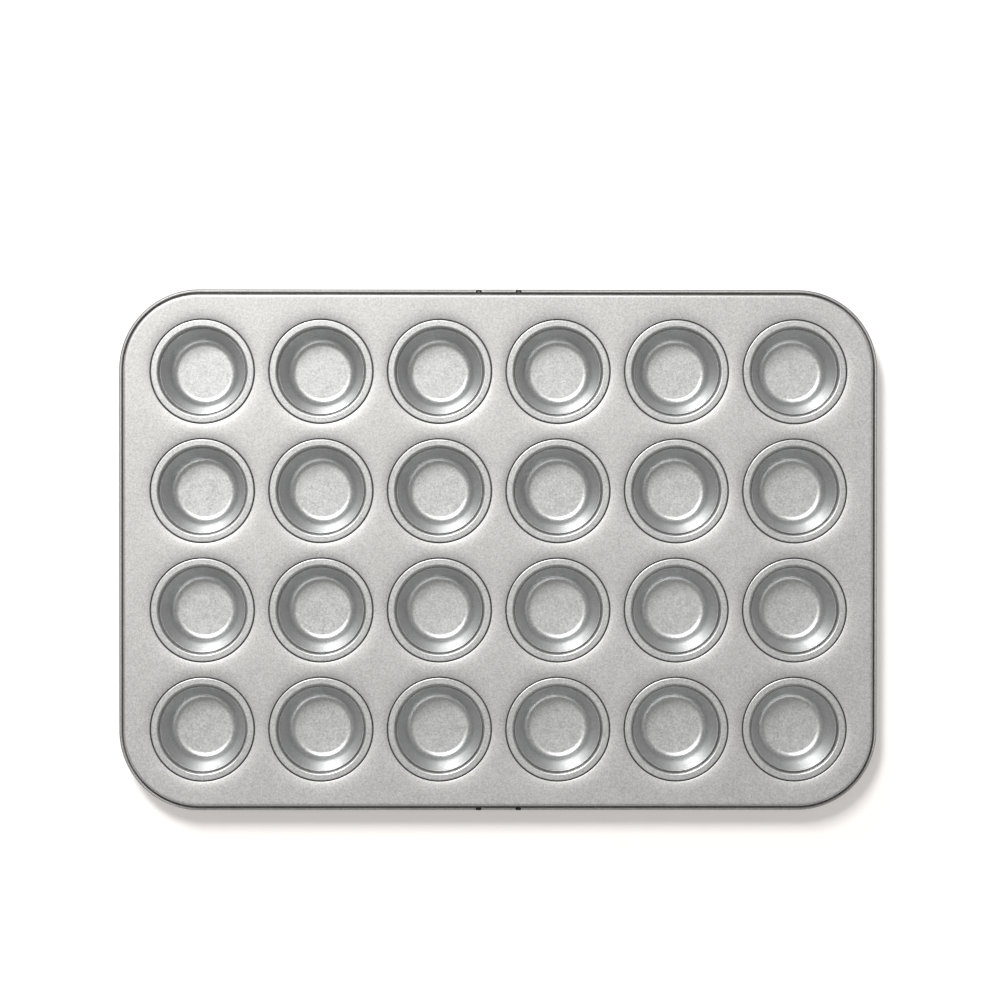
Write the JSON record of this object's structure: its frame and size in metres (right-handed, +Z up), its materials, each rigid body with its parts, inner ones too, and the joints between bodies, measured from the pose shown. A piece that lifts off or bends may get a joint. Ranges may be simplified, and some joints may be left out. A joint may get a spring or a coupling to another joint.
{
  "type": "mini muffin tin",
  "caption": "Rectangular mini muffin tin: a pressed steel sheet with a rolled edge, and a grid of small tapered cups crimped into its holes.",
  "frame": {"origin": "centre of the tin in plan, at the level of the cup bottoms that it stands on", "axes": "+X along the long side, +Y across the tin towards row 1, +Z up out of the cups"},
  "size_m": [0.3804, 0.2612, 0.022],
  "materials": {
    "sheet_coating": "satin",
    "cup_coating": "satin"
  },
  "bodies": {
    "root": {"frame_sheet": "sheet_coating", "cup_r1_c1": "cup_coating", "cup_r1_c2": "cup_coating", "cup_r1_c3": "cup_coating", "cup_r1_c4": "cup_coating", "cup_r1_c5": "cup_coating", "cup_r1_c6": "cup_coating", "cup_r2_c1": "cup_coating", "cup_r2_c2": "cup_coating", "cup_r2_c3": "cup_coating", "cup_r2_c4": "cup_coating", "cup_r2_c5": "cup_coating", "cup_r2_c6": "cup_coating", "cup_r3_c1": "cup_coating", "cup_r3_c2": "cup_coating", "cup_r3_c3": "cup_coating", "cup_r3_c4": "cup_coating", "cup_r3_c5": "cup_coating", "cup_r3_c6": "cup_coating", "cup_r4_c1": "cup_coating", "cup_r4_c2": "cup_coating", "cup_r4_c3": "cup_coating", "cup_r4_c4": "cup_coating", "cup_r4_c5": "cup_coating", "cup_r4_c6": "cup_coating"}
  },
  "joints": []
}
